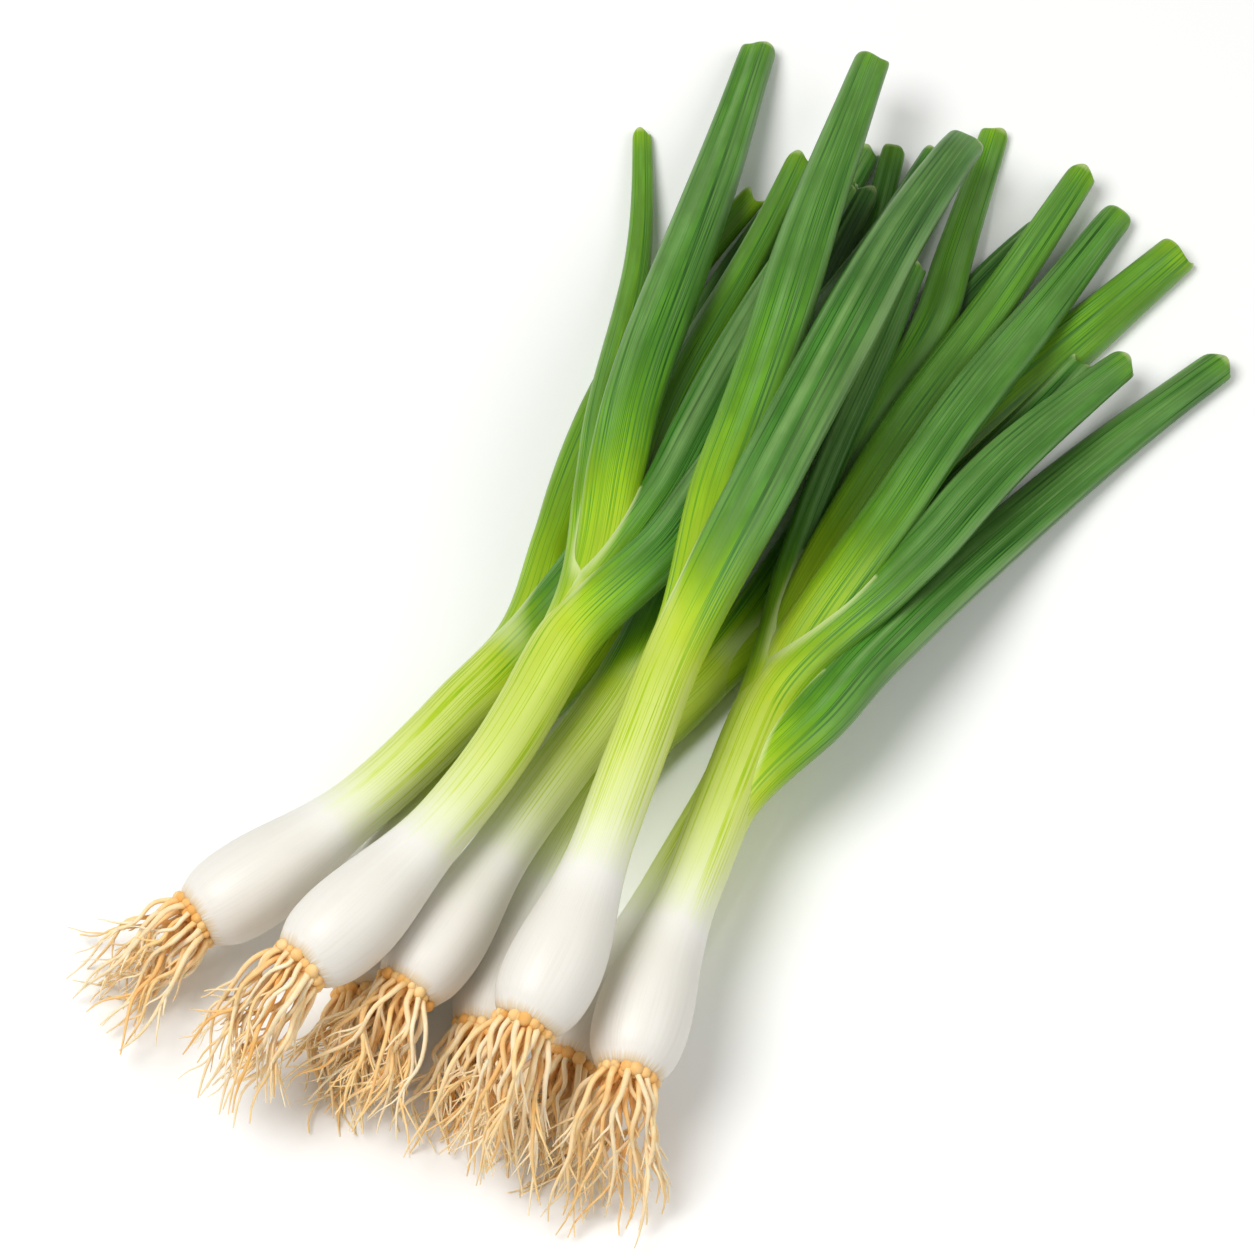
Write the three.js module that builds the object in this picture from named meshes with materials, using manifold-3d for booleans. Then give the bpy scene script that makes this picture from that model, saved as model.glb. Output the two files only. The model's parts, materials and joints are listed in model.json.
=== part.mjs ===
// A bunch of eight spring onions lying down: white bulbs with their roots at one end, trimmed
// green leaves at the other. Millimetres, +Z up, +X along the bunch from roots to leaf tips.
// Every piece lies on the pieces under it or on the surface at z = 0.
import * as THREE from "three";
import { mergeVertices } from "three/addons/utils/BufferGeometryUtils.js";
import Module from "manifold-3d";

const wasm = await Module();
wasm.setup();

// ---- Driving dimensions, mm -------------------------------------------------------------
const CLEAR = 0.8; // space kept between pieces that lie on each other
const PRESS = 1.2; // how much of a bulb's underside is pressed flat by the surface
const PRESS_SHARE = 0.1; // and never more than this share of a piece's half height
const STATION_STEP = 3; // spacing of the points where heights are found
const STEM_BEND = 420; // tightest bend radius of a stem, seen from the side
const LEAF_BEND = 170; // the same for a leaf

const CROWN_RADIUS = 8; // where the roots grow from the bulb
const BULB_PEAK = 1.2; // distance from crown to the bulb's widest point, over its radius
const BULB_TAPER = 2.9; // length over which the bulb narrows to the neck, over its radius
const END_FLATTEN = 0.82; // height over width of a stem's end, where the leaves part
const END_FROM = 0.6; // share of the stem's length where that flattening begins
const STEM_RINGS = [0, 1.5, 4.5, 9, 14, 19, 25, 32, 41, 52]; // ring distances from the crown
const STEM_RING_STEP = 14; // ring spacing on the rest of the stem
const STEM_SIDES = 16;

const BASE_SPACE = 0.5; // space between the bases of leaves side by side in a stem's end
const SIDE_BASE = 1.8; // half width of the base of a leaf that parts beside the stem
const LEAF_WIDEN = 50; // distance over which a leaf reaches its full width
const LEAF_DEPTH = 0.64; // height over width of a hollow leaf
const LEAF_TIP = 0.82; // width of the trimmed tip over full width
const LEAF_TIP_FROM = 0.55; // share of a leaf's length where it starts to narrow to its tip
const LEAF_RISE = 0.25; // steepest climb of a leaf where it leaves its stem
const LEAF_RING_STEP = 17;
const LEAF_SIDES = 10;
const LEAF_START = 1.2; // gap between the stem's end and a leaf's base
const SIDE_START = 2.9; // gap between a stem's flank and a leaf that parts beside it
const LEAD = 14; // a leaf first follows its stem for this far
const ROUNDING = 2; // length over which the end of a stem or leaf is rounded off
// Size of the last rings of a stem and a leaf, over the full size there.
const CROWN_EDGE = 0.84;
const STEM_SHOULDER = 0.97;
const STEM_EDGE = 0.82;
const LEAF_FOOT = 0.8;
const LEAF_EDGE = 0.7;

const ROOT_LENGTH = 36;
const ROOT_SLACK = 0.95; // how far a tuft reaches over the surface, over its full stretch
const ROOT_DROP = 0.8; // most of its length that a tuft can hang down by
const ROOT_WIDE = 8.5; // half width of a root tuft at its far end
const ROOT_DEEP = 3.4; // half height of a root tuft at its far end
const ROOT_THICK = 1.1; // radius of a bundle of rootlets at the crown
const ROOT_THIN = 0.7; // and at its far end
const ROOT_SIDES = 5;
const ROOT_RINGS = 4;
const ROOT_START = 0.6; // gap between the bulb's crown and the root plate
const PLATE_RADIUS = 6; // the root plate under the crown
const PLATE_THICK = 2.6;
const PLATE_RINGS = [0.75, 1, 0.9]; // size of the plate's rings over its radius
const PLATE_SPREAD = 0.62; // where the outer rootlets leave the plate, over its radius
const PLATE_LEVEL = 1.5; // length over which the tuft keeps the stem's slope, over the plate's
const ROOT_SINK = 0.02; // share of the tuft's length where the rootlets start, inside the plate
// Where each bundle of rootlets runs in the tuft: share of its half width, of its half height.
const ROOT_BUNDLES = [
  [-0.95, -0.3],
  [-0.55, 0.7],
  [-0.3, -0.8],
  [0, 0.1],
  [0.35, 0.85],
  [0.5, -0.7],
  [0.9, 0.2],
];

const LOOKS = {
  stem: { color: 0xf0f0dc, roughness: 0.42, metalness: 0 },
  leaf: { color: 0x5a9632, roughness: 0.5, metalness: 0 },
  leafYoung: { color: 0xa0c828, roughness: 0.48, metalness: 0 },
  leafDark: { color: 0x3c7836, roughness: 0.5, metalness: 0 },
  root: { color: 0xe2b878, roughness: 0.8, metalness: 0 },
};

// The plants in the order they are laid down, lowest first. way: where a stem or leaf passes
// over the surface, [x, y]. side: where a leaf parts from the stem, 1 left edge to -1 right
// edge. parts: share of the stem's length where a leaf parts, 1 at its end. roots: the turn of
// the root tuft away from the stem's line, degrees.
const PLANTS = [
  {
    name: "f", bulb: 12.3, neck: 7.8, end: 7.6, roots: 6,
    way: [[-131, -5], [-97, 13], [-67, 15], [-28, 10]],
    leaves: [
      {
        side: -0.5, parts: 1, width: 12, look: "leafDark",
        way: [[15, 13], [64, 22], [137, 33], [185, 41]],
      },
      {
        side: 0.5, parts: 1, width: 11, look: "leafDark",
        way: [[8, 20], [61, 38], [118, 49], [149, 52]],
      },
    ],
  },
  {
    name: "g", bulb: 12, neck: 7.6, end: 7.6, roots: -4,
    way: [[-121, -37], [-90, -28], [-42, -20], [18, -25]],
    leaves: [
      {
        side: -0.5, parts: 1, width: 14, look: "leafYoung",
        way: [[55, -32], [117, -38], [169, -48], [207, -55]],
      },
      {
        side: 0.5, parts: 1, width: 12, look: "leafDark",
        way: [[54, -22], [99, -17], [154, -12], [191, -17]],
      },
    ],
  },
  {
    name: "h", bulb: 11.8, neck: 7.6, end: 7.6, roots: -12,
    way: [[-115, -62], [-90, -58], [-53, -53], [-1, -46]],
    leaves: [
      {
        side: 0.6, parts: 1, width: 9.5, look: "leafYoung",
        way: [[28, -37], [71, -23], [104, -16], [137, -12], [155, -6], [213, 14]],
      },
      {
        side: -0.5, parts: 1, width: 11.5, look: "leafDark",
        way: [[36, -45], [72, -45], [103, -49], [154, -54]],
      },
    ],
  },
  {
    name: "c", bulb: 12.1, neck: 8, end: 7.7, roots: 4,
    way: [[-130, -19], [-108, -18], [-72, -15], [-13, -12]],
    leaves: [
      {
        side: -0.5, parts: 1, width: 10.5, look: "leaf",
        way: [[15, -11], [63, -2], [133, 13], [188, 34]],
      },
      {
        side: 0.5, parts: 1, width: 10, look: "leafDark",
        way: [[11, -5], [70, 9], [127, 23], [168, 30]],
      },
    ],
  },
  {
    name: "a", bulb: 13.3, neck: 8.4, end: 8.9, roots: 22,
    way: [[-143, 42], [-121, 34], [-81, 24], [-23, 19]],
    leaves: [
      {
        side: 0.5, parts: 1, width: 11, look: "leafYoung",
        way: [[-4, 26], [55, 51], [98, 60], [149, 58]],
      },
      {
        side: -0.5, parts: 1, width: 11, look: "leaf",
        way: [[9, 21], [53, 29], [108, 36], [165, 35]],
      },
    ],
  },
  {
    name: "b", bulb: 13.4, neck: 8.4, end: 9, roots: 10,
    way: [[-147, 2], [-121, -2], [-70, -4], [-8, 6]],
    leaves: [
      {
        side: 0.75, parts: 1, width: 8.4, look: "leafYoung",
        way: [[22, 29], [68, 52], [110, 72], [152, 101]],
      },
      {
        side: -0.25, parts: 1, width: 10.5, look: "leaf",
        way: [[37, 21], [89, 36], [129, 43], [164, 52]],
      },
      {
        side: 0.25, parts: 1, width: 15, look: "leaf",
        way: [[29, 25], [91, 48], [136, 65], [197, 89]],
      },
      {
        side: -0.75, parts: 1, width: 13, look: "leaf",
        way: [[35, 9], [78, 19], [126, 30], [158, 33]],
      },
      {
        side: -1, parts: 0.86, width: 14, look: "leafDark",
        way: [[9, -3], [36, -4], [91, 4], [192, 21]],
      },
    ],
  },
  {
    name: "e", bulb: 13.3, neck: 8.3, end: 8.3, roots: -14,
    way: [[-117, -82], [-93, -73], [-57, -63], [11, -44]],
    leaves: [
      {
        side: -1, parts: 0.62, width: 13, look: "leaf",
        way: [[-4, -61], [22, -64], [70, -66], [126, -72], [181, -86]],
      },
      {
        side: -0.75, parts: 1, width: 13.4, look: "leaf",
        way: [[37, -57], [97, -57], [132, -61], [160, -65]],
      },
      {
        side: 0.75, parts: 1, width: 8.5, look: "leafDark",
        way: [[34, -31], [70, -18], [102, -11], [153, 3]],
      },
      {
        side: 0.25, parts: 1, width: 12.4, look: "leaf",
        way: [[38, -38], [87, -28], [143, -24], [212, -18]],
      },
      {
        side: -0.25, parts: 1, width: 13.6, look: "leafDark",
        way: [[41, -47], [87, -42], [147, -37], [208, -33]],
      },
    ],
  },
  {
    name: "d", bulb: 12.9, neck: 8, end: 7.9, roots: -6,
    way: [[-128, -57], [-105, -53], [-59, -40], [-4, -24]],
    leaves: [
      {
        side: 0.5, parts: 1, width: 13.8, look: "leaf",
        way: [[22, -12], [71, 3], [136, 28], [199, 50]],
      },
      {
        side: -0.5, parts: 1, width: 15.5, look: "leafDark",
        way: [[26, -22], [88, -10], [146, 4], [192, 12]],
      },
    ],
  },
];

// ---- Sizes along a piece ----------------------------------------------------------------
const mix = THREE.MathUtils.lerp;
const ease = (share) => THREE.MathUtils.smoothstep(share, 0, 1);

// Half width and half height of a stem at a distance from its crown.
function stemSize(plant, distance, length) {
  const peak = plant.bulb * BULB_PEAK;
  const before = 1 - distance / peak;
  const swelling = CROWN_RADIUS + (plant.bulb - CROWN_RADIUS) * Math.sqrt(1 - before * before);
  const narrowing = mix(plant.bulb, plant.neck, ease((distance - peak) / (plant.bulb * BULB_TAPER)));
  const radius = distance < peak ? swelling : narrowing;
  const ending = ease((distance / length - END_FROM) / (1 - END_FROM));
  return {
    wide: radius + (plant.end - plant.neck) * ending,
    deep: radius * mix(1, END_FLATTEN, ending),
  };
}

// Half width and half height of a leaf at a distance from its base.
function leafSize(leaf, distance, length) {
  const grown = ease(distance / LEAF_WIDEN);
  const trimmed = mix(1, LEAF_TIP, ease((distance / length - LEAF_TIP_FROM) / (1 - LEAF_TIP_FROM)));
  const wide = mix(leaf.base, leaf.width / 2, grown) * trimmed;
  return { wide, deep: mix(leaf.base, wide * LEAF_DEPTH, grown) };
}

// ---- Ways over the surface --------------------------------------------------------------
function wayCurve(points) {
  const corners = points.map(([x, y]) => new THREE.Vector3(x, y, 0));
  return new THREE.CatmullRomCurve3(corners, false, "centripetal");
}

// Evenly spaced points along a way, each with the piece's size, its tangent and its distance.
function stationsAlong(curve, bend, sizeAt) {
  const length = curve.getLength();
  const count = Math.ceil(length / STATION_STEP);
  const stations = [];
  for (let i = 0; i <= count; i += 1) {
    const share = i / count;
    const place = curve.getPointAt(share);
    const along = curve.getTangentAt(share);
    const distance = share * length;
    stations.push({ x: place.x, y: place.y, along, distance, bend, ...sizeAt(distance, length) });
  }
  return stations;
}

// The lowest height at which a station clears the surface and everything laid before it.
function clearHeight(station, laid) {
  let height = station.deep - Math.min(PRESS, station.deep * PRESS_SHARE);
  for (const other of laid) {
    const reach = station.wide + other.wide;
    const away = Math.hypot(station.x - other.x, station.y - other.y) / reach;
    if (away < 1) {
      const lift = (station.deep + other.deep) * Math.sqrt(1 - away * away) + CLEAR;
      height = Math.max(height, other.z + lift);
    }
  }
  return height;
}

// The lowest heights over the needed ones that bend no more tightly than the stations allow.
function drape(stations) {
  const heights = stations.map((station) =>
    stations.reduce((highest, other) => {
      const apart = station.distance - other.distance;
      const sag = (apart * apart) / (station.bend + other.bend);
      return Math.max(highest, other.need - sag);
    }, station.need),
  );
  stations.forEach((station, i) => {
    station.z = heights[i];
  });
}

// Lays one plant on the plants laid before it: the heights of its stem, then of each leaf.
function layPlant(plant, laid) {
  const sizeOfStem = (distance, length) => stemSize(plant, distance, length);
  const stem = stationsAlong(wayCurve(plant.way), STEM_BEND, sizeOfStem);
  for (const station of stem) {
    station.need = clearHeight(station, laid);
  }
  const inEnd = plant.leaves.filter((leaf) => leaf.parts === 1).length;
  const leaves = plant.leaves.map((drawn) => {
    const halfBase = drawn.parts < 1 ? SIDE_BASE : (plant.end - BASE_SPACE) / inEnd;
    const leaf = { ...drawn, base: halfBase };
    const last = Math.round(leaf.parts * (stem.length - 1));
    const from = stem[last];
    const left = new THREE.Vector3(-from.along.y, from.along.x, 0);
    const beside = leaf.parts < 1 ? from.wide + leaf.base + SIDE_START : from.wide;
    const base = new THREE.Vector3(from.x, from.y, 0)
      .addScaledVector(left, leaf.side * beside)
      .addScaledVector(from.along, LEAF_START);
    const lead = base.clone().addScaledVector(from.along, LEAD);
    const curve = wayCurve([[base.x, base.y], [lead.x, lead.y], ...leaf.way]);
    const sizeOfLeaf = (distance, length) => leafSize(leaf, distance, length);
    const stations = stationsAlong(curve, LEAF_BEND, sizeOfLeaf);
    for (const station of stations) {
      station.need = clearHeight(station, laid);
    }
    return { leaf, last, curve, stations };
  });

  // A leaf that has to pass over something lifts the stem it grows from.
  for (const { last, stations } of leaves) {
    const start = stem[last].distance;
    const onward = stations.map((station) => ({ ...station, distance: station.distance + start }));
    const whole = [...stem.slice(0, last + 1), ...onward];
    drape(whole);
    for (let i = 0; i <= last; i += 1) {
      stem[i].need = Math.max(stem[i].need, whole[i].z);
    }
  }
  drape(stem);

  const siblings = [];
  for (const { leaf, last, stations } of leaves) {
    const around = leaf.parts < 1 ? [...siblings, ...stem] : siblings;
    for (const station of stations) {
      const free = Math.max(station.need, clearHeight(station, around));
      const start = stem[last].z + station.distance * LEAF_RISE;
      station.need = station.distance < LEAD ? Math.min(free, start) : free;
    }
    stations[0].need = stem[last].z;
    drape(stations);
    siblings.push(...stations);
  }
  return { stem, leaves, laid: [...stem, ...siblings] };
}

// ---- Solids -----------------------------------------------------------------------------
// A limb is a lathe of unit radius bent along its rings: each ring has a place, a direction,
// a half width and a half height. Its underside is pressed flat where it meets the surface.
function limbGeometry(rings, sides) {
  const profile = [new THREE.Vector2(0, 0)];
  rings.forEach((ring, i) => profile.push(new THREE.Vector2(1, i)));
  profile.push(new THREE.Vector2(0, rings.length - 1));
  const geometry = new THREE.LatheGeometry(profile, sides, Math.PI / sides);
  const position = geometry.getAttribute("position");
  const upward = new THREE.Vector3(0, 0, 1);
  for (let i = 0; i < position.count; i += 1) {
    const ring = rings[Math.round(position.getY(i))];
    const across = new THREE.Vector3().crossVectors(ring.along, upward).normalize();
    const over = new THREE.Vector3().crossVectors(across, ring.along).normalize();
    const point = ring.place
      .clone()
      .addScaledVector(across, position.getX(i) * ring.wide)
      .addScaledVector(over, position.getZ(i) * ring.deep);
    position.setXYZ(i, point.x, point.y, Math.max(point.z, 0));
  }
  geometry.computeVertexNormals();
  return geometry;
}

// The 3-D line through laid stations.
function stationCurve(stations) {
  const places = stations.map((station) => new THREE.Vector3(station.x, station.y, station.z));
  return new THREE.CatmullRomCurve3(places, false, "centripetal");
}

function ringAt(curve, share, size, scale) {
  return {
    place: curve.getPointAt(share),
    along: curve.getTangentAt(share),
    wide: size.wide * scale,
    deep: size.deep * scale,
  };
}

function stemGeometry(plant, stations) {
  const curve = stationCurve(stations);
  const length = curve.getLength();
  const flat = stations[stations.length - 1].distance;
  const distances = [...STEM_RINGS];
  const rest = Math.round((length - STEM_RINGS.at(-1)) / STEM_RING_STEP);
  for (let i = 1; i < rest; i += 1) {
    distances.push(mix(STEM_RINGS.at(-1), length, i / rest));
  }
  const rings = distances.map((distance, i) =>
    ringAt(curve, distance / length, stemSize(plant, distance, flat), i === 0 ? CROWN_EDGE : 1),
  );
  rings.push(ringAt(curve, 1 - ROUNDING / length, stemSize(plant, flat, flat), STEM_SHOULDER));
  rings.push(ringAt(curve, 1, stemSize(plant, flat, flat), STEM_EDGE));
  return limbGeometry(rings, STEM_SIDES);
}

function leafGeometry(leaf, stations) {
  const curve = stationCurve(stations);
  const length = curve.getLength();
  const flat = stations[stations.length - 1].distance;
  const rings = [ringAt(curve, 0, leafSize(leaf, 0, flat), LEAF_FOOT)];
  const count = Math.round(length / LEAF_RING_STEP);
  for (let i = 0; i < count; i += 1) {
    const share = mix(ROUNDING / length, 1 - ROUNDING / length, i / (count - 1));
    rings.push(ringAt(curve, share, leafSize(leaf, share * flat, flat), 1));
  }
  rings.push(ringAt(curve, 1, leafSize(leaf, flat, flat), LEAF_EDGE));
  return limbGeometry(rings, LEAF_SIDES);
}

// ---- Roots ------------------------------------------------------------------------------
function solidOf(geometry) {
  const bare = geometry.clone();
  bare.deleteAttribute("normal");
  bare.deleteAttribute("uv");
  const merged = mergeVertices(bare, 1e-4);
  return new wasm.Manifold(
    new wasm.Mesh({
      numProp: 3,
      vertProperties: merged.getAttribute("position").array,
      triVerts: Uint32Array.from(merged.index.array),
    }),
  );
}

function geometryOf(solid) {
  const mesh = solid.getMesh();
  const geometry = new THREE.BufferGeometry();
  geometry.setAttribute("position", new THREE.BufferAttribute(mesh.vertProperties, 3));
  geometry.setIndex(new THREE.BufferAttribute(mesh.triVerts, 1));
  geometry.computeVertexNormals();
  return geometry;
}

// The root tuft hangs from the crown towards the surface, over whatever was laid before it.
function layRoots(plant, stem, laid) {
  const crown = stem[0];
  const turn = THREE.MathUtils.degToRad(plant.roots);
  const away = crown.along.clone().negate().applyAxisAngle(new THREE.Vector3(0, 0, 1), turn);
  const drop = Math.min(crown.z - ROOT_DEEP, ROOT_LENGTH * ROOT_DROP);
  const reach = Math.sqrt(ROOT_LENGTH * ROOT_LENGTH - drop * drop) * ROOT_SLACK;
  const straight = crown.along.clone().negate();
  const start = new THREE.Vector3(crown.x, crown.y, 0).addScaledVector(straight, ROOT_START);
  const first = start.clone().addScaledVector(straight, PLATE_THICK);
  const far = first.clone().addScaledVector(away, reach);
  const curve = new THREE.CatmullRomCurve3([start, first, far], false, "centripetal");
  const stations = stationsAlong(curve, 1, (distance, length) => ({
    wide: mix(PLATE_RADIUS, ROOT_WIDE, distance / length),
    deep: mix(PLATE_RADIUS, ROOT_DEEP, ease(distance / length)),
  }));
  const length = curve.getLength();
  const slope = (stem[1].z - crown.z) / stem[1].distance;
  for (const station of stations) {
    const share = station.distance / length;
    const level = crown.z - slope * (station.distance + ROOT_START);
    const hang = level - drop * share * share;
    const cleared = Math.max(hang, clearHeight(station, laid));
    station.z = station.distance < PLATE_THICK * PLATE_LEVEL ? level : cleared;
  }
  return stations;
}

function rootsGeometry(stations) {
  const curve = stationCurve(stations);
  const length = curve.getLength();
  const plate = PLATE_RINGS.map((scale, i) =>
    ringAt(curve, (i * PLATE_THICK) / (2 * length), { wide: PLATE_RADIUS, deep: PLATE_RADIUS }, scale),
  );
  let tuft = solidOf(limbGeometry(plate, LEAF_SIDES));
  for (const [outward, upward] of ROOT_BUNDLES) {
    const places = [];
    for (let i = 0; i <= ROOT_RINGS; i += 1) {
      const share = mix(ROOT_SINK, 1, i / ROOT_RINGS);
      const { place, along } = ringAt(curve, share, { wide: 0, deep: 0 }, 1);
      const across = new THREE.Vector3().crossVectors(along, new THREE.Vector3(0, 0, 1)).normalize();
      const over = new THREE.Vector3().crossVectors(across, along);
      const spread = mix(PLATE_RADIUS * PLATE_SPREAD, ROOT_WIDE - ROOT_THIN, share);
      const rise = mix(PLATE_RADIUS * PLATE_SPREAD, ROOT_DEEP - ROOT_THIN, ease(share));
      place.addScaledVector(across, outward * spread).addScaledVector(over, upward * rise);
      place.z = Math.max(place.z, ROOT_THIN);
      places.push(place);
    }
    const line = new THREE.CatmullRomCurve3(places, false, "centripetal");
    const rings = places.map((place, i) => {
      const share = i / ROOT_RINGS;
      const thick = mix(ROOT_THICK, ROOT_THIN, share);
      return ringAt(line, share, { wide: thick, deep: thick }, 1);
    });
    tuft = tuft.add(solidOf(limbGeometry(rings, ROOT_SIDES)));
  }
  return geometryOf(tuft);
}

// ---- The bunch --------------------------------------------------------------------------
function piece(name, geometry, look) {
  const material = new THREE.MeshStandardMaterial({ ...LOOKS[look], name: look });
  const mesh = new THREE.Mesh(geometry, material);
  mesh.name = name;
  return mesh;
}

const bunch = new THREE.Group();
const laid = [];
for (const plant of PLANTS) {
  const { stem, leaves, laid: own } = layPlant(plant, laid);
  const roots = layRoots(plant, stem, laid);
  laid.push(...own, ...roots);
  bunch.add(piece(`stem_${plant.name}`, stemGeometry(plant, stem), "stem"));
  leaves.forEach(({ leaf, stations }, i) => {
    bunch.add(piece(`leaf_${plant.name}${i + 1}`, leafGeometry(leaf, stations), leaf.look));
  });
  bunch.add(piece(`roots_${plant.name}`, rootsGeometry(roots), "root"));
}

// The origin is on the surface, under the middle of the bunch.
const box = new THREE.Box3().setFromObject(bunch);
const middle = box.getCenter(new THREE.Vector3());
bunch.position.set(-middle.x, -middle.y, -box.min.z);

export default bunch;
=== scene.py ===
"""The looks of a bunch of eight spring onions lying down: bulbs, stems, hollow leaves, roots."""

import json
import math

import bpy
import numpy as np
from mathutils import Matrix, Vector
from mathutils.bvhtree import BVHTree


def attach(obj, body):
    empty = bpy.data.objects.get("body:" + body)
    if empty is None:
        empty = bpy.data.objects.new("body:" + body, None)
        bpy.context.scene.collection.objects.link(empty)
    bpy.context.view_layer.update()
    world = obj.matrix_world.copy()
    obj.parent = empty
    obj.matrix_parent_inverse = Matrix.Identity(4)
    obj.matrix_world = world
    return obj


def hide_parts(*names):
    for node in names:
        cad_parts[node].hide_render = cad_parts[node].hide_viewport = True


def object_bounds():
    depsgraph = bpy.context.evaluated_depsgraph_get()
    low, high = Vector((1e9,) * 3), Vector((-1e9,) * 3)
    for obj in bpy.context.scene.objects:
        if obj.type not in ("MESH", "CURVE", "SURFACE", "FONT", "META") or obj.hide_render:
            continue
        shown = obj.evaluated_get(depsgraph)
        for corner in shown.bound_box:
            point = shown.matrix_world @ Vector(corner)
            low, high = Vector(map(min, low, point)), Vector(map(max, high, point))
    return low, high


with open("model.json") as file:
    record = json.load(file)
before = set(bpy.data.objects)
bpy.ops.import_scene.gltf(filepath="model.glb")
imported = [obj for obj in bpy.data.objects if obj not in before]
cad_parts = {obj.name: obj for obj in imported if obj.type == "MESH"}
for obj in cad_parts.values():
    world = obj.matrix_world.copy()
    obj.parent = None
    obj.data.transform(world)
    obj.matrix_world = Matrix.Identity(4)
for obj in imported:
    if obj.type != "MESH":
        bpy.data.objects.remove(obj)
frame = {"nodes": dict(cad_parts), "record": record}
cad_low, cad_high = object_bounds()
MM = 0.001
CM = 10 * MM
FULL_TURN = 2 * np.pi
UP = np.array([0.0, 0.0, 1.0])
SURFACE = 0.0  # height of the surface the bunch lies on


# ---- Small helpers ------------------------------------------------------------------------
def ease(x):
    """0 to 1 with a soft start and end, and flat outside."""
    x = np.clip(x, 0.0, 1.0)
    return x * x * (3 - 2 * x)


def mix(a, b, share):
    return a + (b - a) * share


def unit(v):
    return v / np.maximum(np.linalg.norm(v, axis=-1, keepdims=True), 1e-9)


def linear(hex_colour):
    """A colour written as sRGB hex, as the linear RGBA that shaders take."""
    channels = [int(hex_colour[i : i + 2], 16) / 255 for i in (1, 3, 5)]
    return tuple([c / 12.92 if c <= 0.04045 else ((c + 0.055) / 1.055) ** 2.4 for c in channels] + [1.0])


# ---- The CAD limbs, read back as rings ----------------------------------------------------
ONE_PLACE = 0.002 * MM  # vertices this close together are one
LINE_STEP = 1.0 * MM
SIZE_REACH = 5  # points to each side over which a limb's sizes are evened out


def merged(node):
    """The node's vertices with doubles joined, and its edges."""
    mesh = frame["nodes"][node].data
    points = np.array([v.co for v in mesh.vertices])
    places = np.round(points / ONE_PLACE).astype(np.int64)
    _, first, index = np.unique(places, axis=0, return_index=True, return_inverse=True)
    index = index.reshape(-1)
    edges = index[np.array([e.vertices[:] for e in mesh.edges])]
    edges = np.unique(np.sort(edges[edges[:, 0] != edges[:, 1]], axis=1), axis=0)
    return points[first], edges


def rings_of(node):
    """Centre, half width and half height of each ring of a CAD stem or leaf, from its root end.

    Each end of a limb closes on a pole, the vertex with the most edges. The rings are found by
    walking from the pole at the root end, one edge at a time.
    """
    points, edges = merged(node)
    count = len(points)
    valence = np.bincount(edges.ravel(), minlength=count)
    poles = np.argsort(-valence)[:2]
    start = poles[np.argmin(points[poles, 0])]
    level = np.full(count, -1)
    level[start] = 0
    depth = 0
    while (level < 0).any():
        at = level == depth
        touched = edges[at[edges[:, 0]] | at[edges[:, 1]]].ravel()
        fresh = touched[level[touched] < 0]
        if not len(fresh):
            break
        depth += 1
        level[fresh] = depth
    rings = [points[level == i] for i in range(1, depth)]
    centres = np.array([ring.mean(axis=0) for ring in rings])
    along = unit(np.gradient(centres, axis=0))
    across = unit(np.cross(along, UP))
    over = np.cross(across, along)
    wide = [math.sqrt(2 * np.mean(((r - c) @ a) ** 2)) for r, c, a in zip(rings, centres, across)]
    deep = [math.sqrt(2 * np.mean(((r - c) @ o) ** 2)) for r, c, o in zip(rings, centres, over)]
    return centres, np.array(wide), np.array(deep)


def smooth_line(points, step):
    """A smooth line through points, sampled about every step, with distances along it."""
    gap = np.linalg.norm(np.diff(points, axis=0), axis=1)[:, None]
    slope = np.diff(points, axis=0) / gap
    inner = (slope[:-1] * gap[1:] + slope[1:] * gap[:-1]) / (gap[1:] + gap[:-1])
    slope = np.vstack([1.5 * slope[:1] - 0.5 * inner[:1], inner, 1.5 * slope[-1:] - 0.5 * inner[-1:]])
    out = []
    for i in range(len(points) - 1):
        t = np.linspace(0, 1, max(3, int(gap[i, 0] / step)) + 1)[:-1, None]
        hold = (1 + 2 * t) * (1 - t) ** 2 * points[i] + t**2 * (3 - 2 * t) * points[i + 1]
        lean = t * (1 - t) ** 2 * slope[i] - t**2 * (1 - t) * slope[i + 1]
        out.append(hold + lean * gap[i, 0])
    line = np.vstack([*out, points[-1:]])
    distance = np.concatenate([[0], np.cumsum(np.linalg.norm(np.diff(line, axis=0), axis=1))])
    return line, distance


class Spine:
    """A smooth line with a half width and a half height at each distance along it."""

    def __init__(self, centres, wide, deep):
        self.line, self.at = smooth_line(centres, LINE_STEP)
        nearest = [np.argmin(np.linalg.norm(self.line - c, axis=1)) for c in centres]
        self.wide = self.evened(self.at[nearest], wide)
        self.deep = self.evened(self.at[nearest], deep)
        self.length = self.at[-1]
        self.along = unit(np.gradient(self.line, axis=0))

    def evened(self, knots, sizes):
        """Sizes known at the knots, for each point of the line, with no sudden change."""
        padded = np.pad(np.interp(self.at, knots, sizes), SIZE_REACH, mode="edge")
        kernel = np.ones(2 * SIZE_REACH + 1) / (2 * SIZE_REACH + 1)
        return np.convolve(padded, kernel, mode="valid")

    def place(self, distance):
        """Points on the line; distances past its ends go straight on."""
        inside = np.clip(distance, 0, self.length)
        spot = np.stack([np.interp(inside, self.at, self.line[:, k]) for k in range(3)], -1)
        heading = self.heading(inside)
        return spot + heading * (distance - inside)[..., None]

    def heading(self, distance):
        return unit(np.stack([np.interp(distance, self.at, self.along[:, k]) for k in range(3)], -1))

    def size(self, distance):
        return np.interp(distance, self.at, self.wide), np.interp(distance, self.at, self.deep)


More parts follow.
